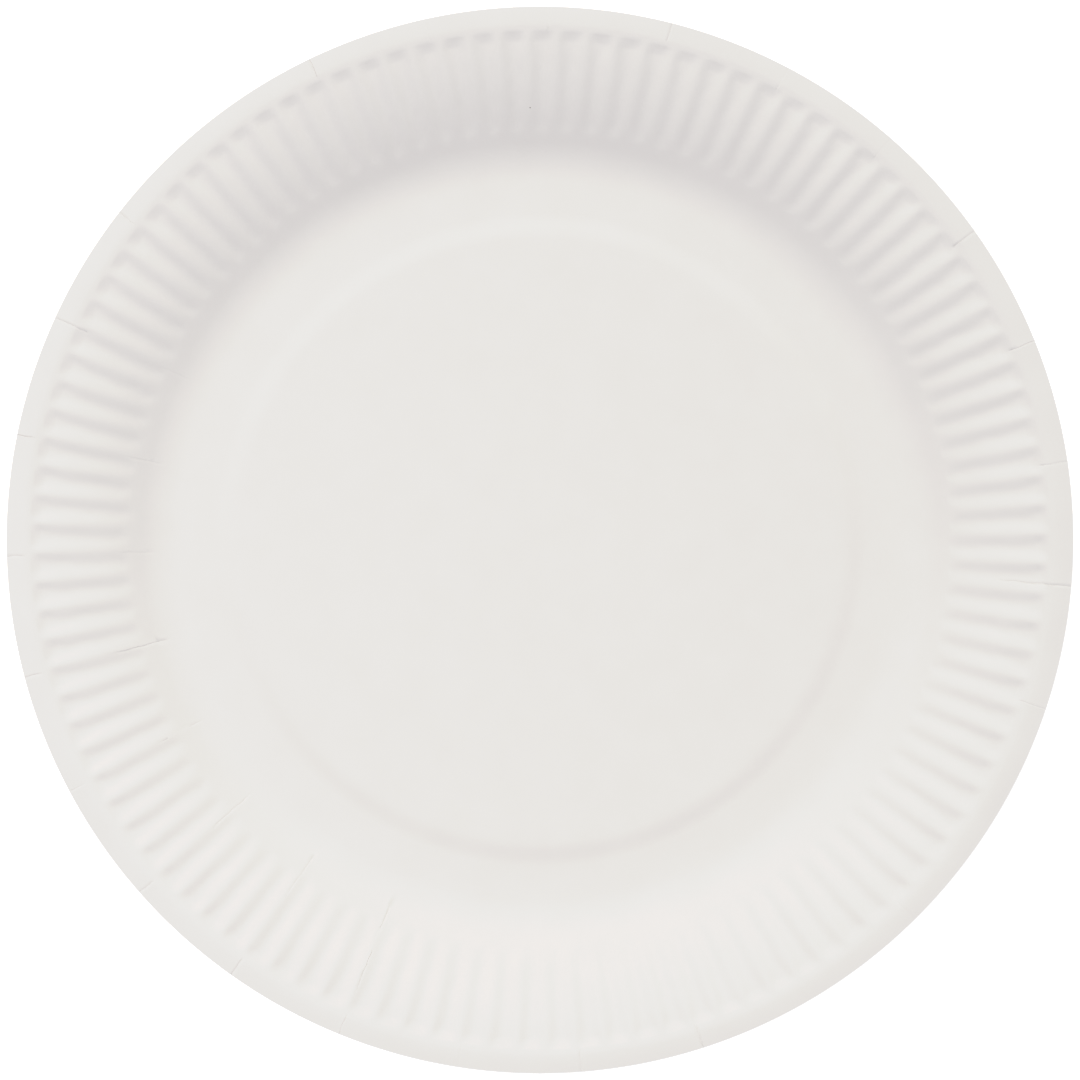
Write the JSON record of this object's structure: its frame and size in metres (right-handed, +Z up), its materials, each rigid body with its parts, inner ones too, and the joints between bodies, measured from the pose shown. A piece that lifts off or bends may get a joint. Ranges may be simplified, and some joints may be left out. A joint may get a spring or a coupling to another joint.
{
  "type": "paper plate",
  "caption": "Shallow round paperboard plate with a raised centre disc, a finely fluted sloping wall and a narrow turned-down rim, for serving food.",
  "frame": {"origin": "on the plate's axis, in the plane of the flat ring that it stands on", "axes": "+Z up along the plate's axis, out of its dish; +X over the crest of one flute"},
  "size_m": [0.23, 0.23, 0.015],
  "materials": {
    "white_paperboard": "uncoated matt white paperboard"
  },
  "bodies": {
    "root": {"paper_plate": "white_paperboard"}
  },
  "joints": []
}
